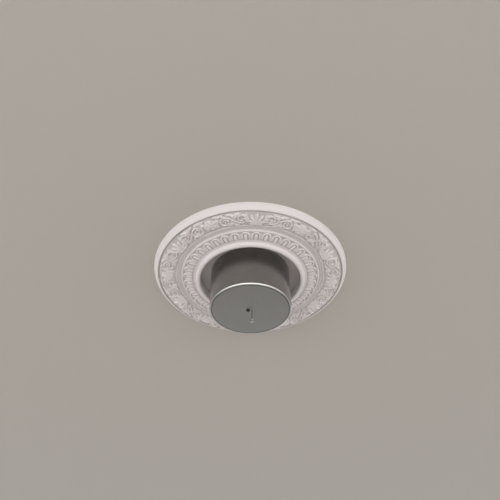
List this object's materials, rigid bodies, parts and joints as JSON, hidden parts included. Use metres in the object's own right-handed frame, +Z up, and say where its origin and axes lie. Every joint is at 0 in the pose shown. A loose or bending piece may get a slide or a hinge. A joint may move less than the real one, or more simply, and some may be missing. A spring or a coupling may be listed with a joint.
{
  "type": "ceiling rose",
  "caption": "Round moulded ceiling rose with a leaf band, an arcaded band and a raised collar, and a satin metal ceiling cup with a hook over its middle.",
  "frame": {"origin": "middle of the rose's flat back, which lies on the ceiling", "axes": "+Z up into the ceiling, along the rose's axis; -Y towards the side that the picture sees from"},
  "size_m": [0.36, 0.36, 0.1162],
  "materials": {
    "rose_paint": "matt white paint over a moulded rigid foam casting",
    "cup_nickel": "satin nickel plate, brushed round the cup",
    "hook_nickel": "nickel-plated bent wire",
    "bush_black": "black moulded plastic"
  },
  "bodies": {
    "root": {"rose": "rose_paint", "ceiling_cup": "cup_nickel", "suspension_hook": "hook_nickel", "outlet_bush": "bush_black"}
  },
  "joints": []
}
